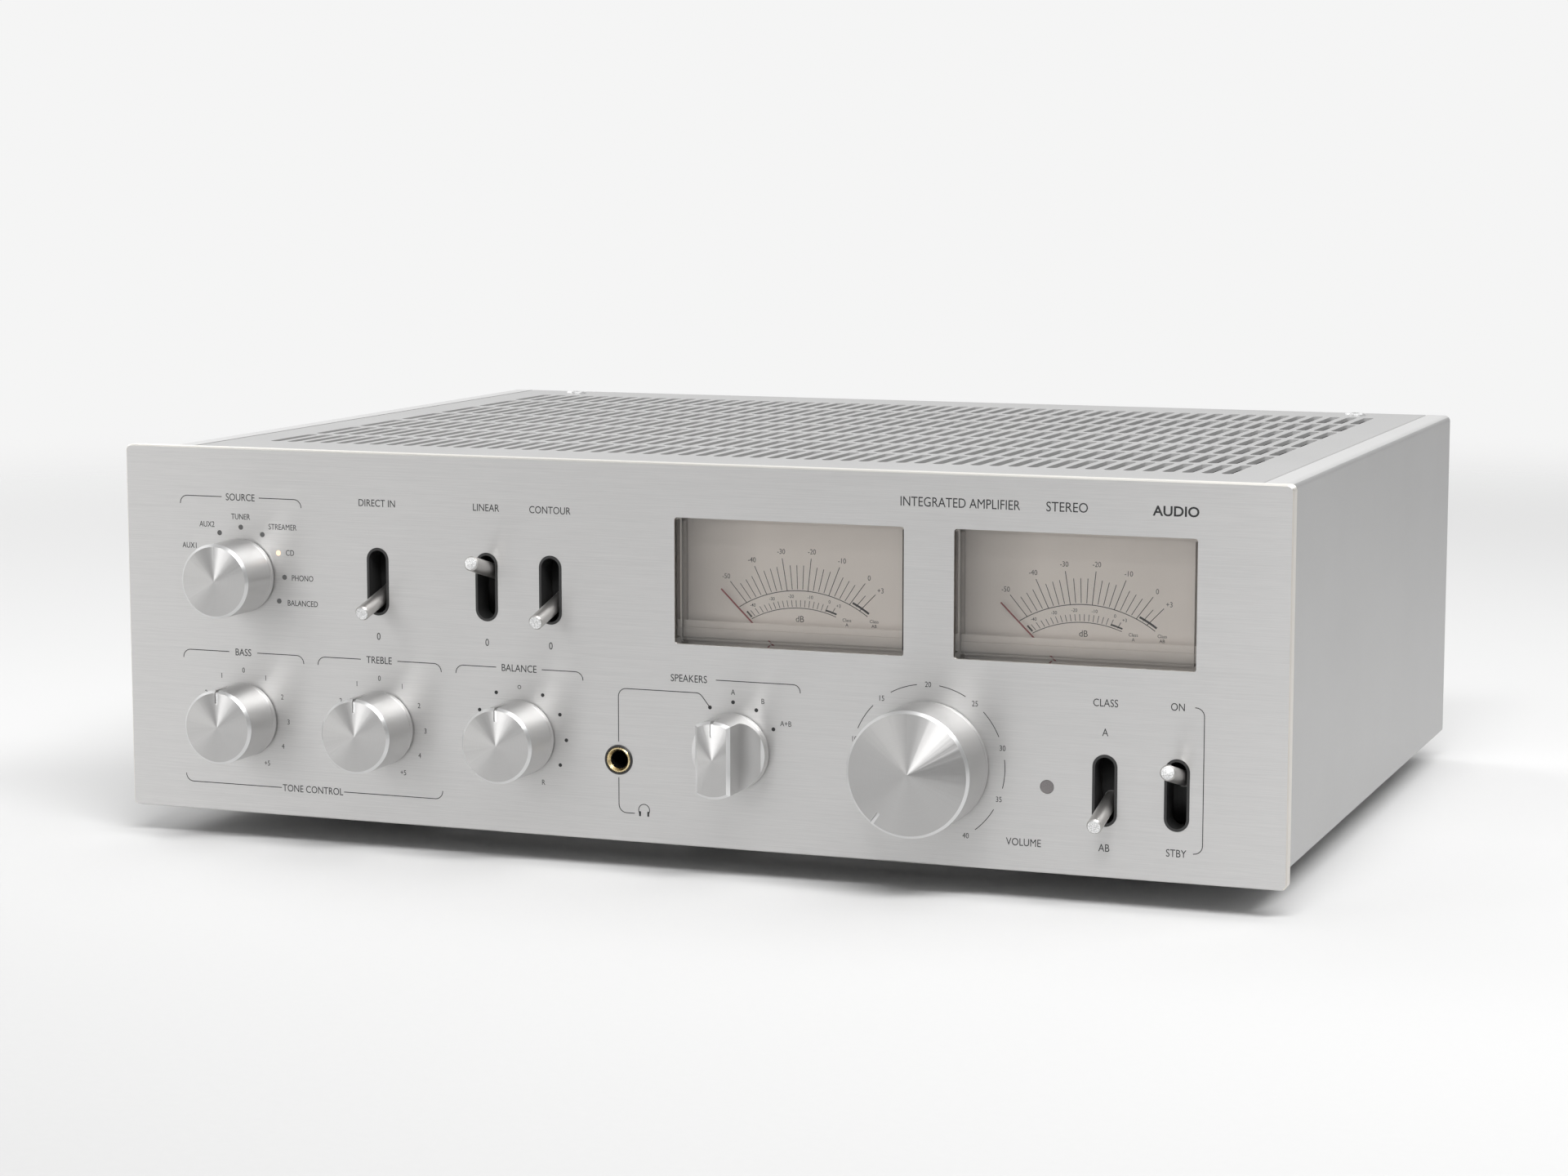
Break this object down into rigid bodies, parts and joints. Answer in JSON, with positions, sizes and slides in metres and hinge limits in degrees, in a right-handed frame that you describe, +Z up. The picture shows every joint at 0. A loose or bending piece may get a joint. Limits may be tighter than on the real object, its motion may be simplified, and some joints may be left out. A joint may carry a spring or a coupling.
{
  "type": "stereo power amplifier",
  "caption": "Integrated stereo amplifier: slotted case, thick aluminium front with turned knobs, toggle levers and twin needle level meters.",
  "frame": {"origin": "on the floor, at the middle of the footprint", "axes": "+X to the user's right, +Y to the rear, +Z up; the front panel faces -Y"},
  "size_m": [0.45, 0.3802, 0.15],
  "materials": {
    "brushed_aluminium": "horizontal brushed grain, clear anodised",
    "satin_aluminium": "fine satin grain, clear anodised",
    "turned_aluminium": "turned face with bright chamfer",
    "bright_steel": "bright machined",
    "steel_sheet": "plated sheet",
    "black_sheet": "fine textured black paint",
    "black_anodised": "black anodised",
    "black_plastic": "fine moulded texture",
    "red_plastic": "translucent red moulding",
    "rubber": "matt",
    "gold_plate": "gold plated, polished",
    "component_body": "moulded",
    "circuit_board": "solder mask",
    "receiver_lens": "dark smoked lens",
    "light_pipe": "clear light guide",
    "dial_paint": "warm grey printed dial",
    "clear_cover": "clear moulded cover",
    "needle_paint": "dark red paint",
    "winding_tape": "amber tape over copper winding",
    "capacitor_sleeve": "shrunk plastic sleeve",
    "wire_insulation": "soft insulation"
  },
  "bodies": {
    "chassis": {"front_panel": "brushed_aluminium", "front_subframe": "steel_sheet", "top_cover": "satin_aluminium", "side_panel_left": "satin_aluminium", "side_panel_right": "satin_aluminium", "base_plate": "steel_sheet", "rear_panel": "black_sheet", "feet": "black_plastic", "foot_pads": "rubber", "case_screws": "bright_steel", "source_encoder": "component_body", "tone_potentiometers": "component_body", "speaker_selector": "component_body", "volume_potentiometer": "component_body", "lever_bezels": "black_plastic", "toggle_switches": "component_body", "control_boards": "circuit_board", "headphone_jack": "gold_plate", "jack_collar": "black_plastic", "remote_receiver": "receiver_lens", "source_lights": "light_pipe", "meter_housings": "black_plastic", "meter_dials": "dial_paint", "meter_covers": "clear_cover", "meter_movements": "component_body", "rca_sockets": "gold_plate", "xlr_sockets": "black_plastic", "speaker_posts": "gold_plate", "mains_inlet": "black_plastic", "transformers": "winding_tape", "transformer_clamps": "steel_sheet", "filter_capacitors": "capacitor_sleeve", "heatsinks": "black_anodised", "output_transistors": "black_plastic", "power_boards": "circuit_board", "preamp_board": "circuit_board", "wiring_looms": "wire_insulation"},
    "source_knob": {"source_knob": "turned_aluminium"},
    "bass_knob": {"bass_knob": "turned_aluminium"},
    "treble_knob": {"treble_knob": "turned_aluminium"},
    "balance_knob": {"balance_knob": "turned_aluminium"},
    "speaker_knob": {"speaker_knob": "turned_aluminium"},
    "volume_knob": {"volume_knob": "turned_aluminium"},
    "direct_lever": {"direct_lever": "bright_steel"},
    "linear_lever": {"linear_lever": "bright_steel"},
    "contour_lever": {"contour_lever": "bright_steel"},
    "class_lever": {"class_lever": "bright_steel"},
    "power_lever": {"power_lever": "bright_steel"},
    "meter_needle_left": {"meter_needle_left": "needle_paint"},
    "meter_needle_right": {"meter_needle_right": "needle_paint"},
    "mains_rocker": {"mains_rocker": "black_plastic"},
    "speaker_cap_1": {"speaker_cap_1": "black_plastic"},
    "speaker_cap_2": {"speaker_cap_2": "red_plastic"},
    "speaker_cap_3": {"speaker_cap_3": "black_plastic"},
    "speaker_cap_4": {"speaker_cap_4": "red_plastic"},
    "speaker_cap_5": {"speaker_cap_5": "black_plastic"},
    "speaker_cap_6": {"speaker_cap_6": "red_plastic"},
    "speaker_cap_7": {"speaker_cap_7": "black_plastic"},
    "speaker_cap_8": {"speaker_cap_8": "red_plastic"},
    "ground_screw": {"ground_screw": "gold_plate"}
  },
  "joints": [
    {"name": "source_knob_turn", "type": "hinge", "parent": "chassis", "child": "source_knob", "pos_m": [-0.1761, -0.1669, 0.1019], "axis": [0, 1, 0], "continuous": true},
    {"name": "bass_knob_turn", "type": "hinge", "parent": "chassis", "child": "bass_knob", "pos_m": [-0.1761, -0.1669, 0.0469], "axis": [0, 1, 0], "range_deg": [-150, 150]},
    {"name": "treble_knob_turn", "type": "hinge", "parent": "chassis", "child": "treble_knob", "pos_m": [-0.1188, -0.1669, 0.0469], "axis": [0, 1, 0], "range_deg": [-150, 150]},
    {"name": "balance_knob_turn", "type": "hinge", "parent": "chassis", "child": "balance_knob", "pos_m": [-0.0615, -0.1669, 0.0469], "axis": [0, 1, 0], "range_deg": [-150, 150]},
    {"name": "speaker_knob_turn", "type": "hinge", "parent": "chassis", "child": "speaker_knob", "pos_m": [0.0227, -0.1669, 0.0469], "axis": [0, 1, 0], "range_deg": [-30, 60]},
    {"name": "volume_knob_turn", "type": "hinge", "parent": "chassis", "child": "volume_knob", "pos_m": [0.0962, -0.1669, 0.0469], "axis": [0, 1, 0], "range_deg": [-6, 294]},
    {"name": "direct_lever_tilt", "type": "hinge", "parent": "chassis", "child": "direct_lever", "pos_m": [-0.1188, -0.1399, 0.102], "axis": [-1, 0, 0], "range_deg": [0, 28.6]},
    {"name": "linear_lever_tilt", "type": "hinge", "parent": "chassis", "child": "linear_lever", "pos_m": [-0.0743, -0.1399, 0.102], "axis": [1, 0, 0], "range_deg": [0, 28.6]},
    {"name": "contour_lever_tilt", "type": "hinge", "parent": "chassis", "child": "contour_lever", "pos_m": [-0.0487, -0.1399, 0.102], "axis": [-1, 0, 0], "range_deg": [0, 28.6]},
    {"name": "class_lever_tilt", "type": "hinge", "parent": "chassis", "child": "class_lever", "pos_m": [0.1606, -0.1399, 0.0416], "axis": [-1, 0, 0], "range_deg": [0, 28.6]},
    {"name": "power_lever_tilt", "type": "hinge", "parent": "chassis", "child": "power_lever", "pos_m": [0.1862, -0.1399, 0.0416], "axis": [1, 0, 0], "range_deg": [0, 28.6]},
    {"name": "meter_needle_left_swing", "type": "hinge", "parent": "chassis", "child": "meter_needle_left", "pos_m": [0.0436, -0.1563, 0.0751], "axis": [0, 1, 0], "range_deg": [0, 90], "stiffness_Nm_per_rad": 0.00002},
    {"name": "meter_needle_right_swing", "type": "hinge", "parent": "chassis", "child": "meter_needle_right", "pos_m": [0.1489, -0.1563, 0.0751], "axis": [0, 1, 0], "range_deg": [0, 90], "stiffness_Nm_per_rad": 0.00002},
    {"name": "mains_rocker_tilt", "type": "hinge", "parent": "chassis", "child": "mains_rocker", "pos_m": [0.182, 0.1661, 0.078], "axis": [-1, 0, 0], "range_deg": [0, 20]},
    {"name": "speaker_cap_1_turn", "type": "hinge", "parent": "chassis", "child": "speaker_cap_1", "pos_m": [-0.056, 0.1741, 0.049], "axis": [0, -1, 0], "range_deg": [0, 720]},
    {"name": "speaker_cap_2_turn", "type": "hinge", "parent": "chassis", "child": "speaker_cap_2", "pos_m": [-0.037, 0.1741, 0.049], "axis": [0, -1, 0], "range_deg": [0, 720]},
    {"name": "speaker_cap_3_turn", "type": "hinge", "parent": "chassis", "child": "speaker_cap_3", "pos_m": [0.07, 0.1741, 0.049], "axis": [0, -1, 0], "range_deg": [0, 720]},
    {"name": "speaker_cap_4_turn", "type": "hinge", "parent": "chassis", "child": "speaker_cap_4", "pos_m": [0.089, 0.1741, 0.049], "axis": [0, -1, 0], "range_deg": [0, 720]},
    {"name": "speaker_cap_5_turn", "type": "hinge", "parent": "chassis", "child": "speaker_cap_5", "pos_m": [-0.056, 0.1741, 0.085], "axis": [0, -1, 0], "range_deg": [0, 720]},
    {"name": "speaker_cap_6_turn", "type": "hinge", "parent": "chassis", "child": "speaker_cap_6", "pos_m": [-0.037, 0.1741, 0.085], "axis": [0, -1, 0], "range_deg": [0, 720]},
    {"name": "speaker_cap_7_turn", "type": "hinge", "parent": "chassis", "child": "speaker_cap_7", "pos_m": [0.07, 0.1741, 0.085], "axis": [0, -1, 0], "range_deg": [0, 720]},
    {"name": "speaker_cap_8_turn", "type": "hinge", "parent": "chassis", "child": "speaker_cap_8", "pos_m": [0.089, 0.1741, 0.085], "axis": [0, -1, 0], "range_deg": [0, 720]},
    {"name": "ground_screw_turn", "type": "hinge", "parent": "chassis", "child": "ground_screw", "pos_m": [-0.112, 0.1721, 0.071], "axis": [0, -1, 0], "range_deg": [0, 720]}
  ]
}
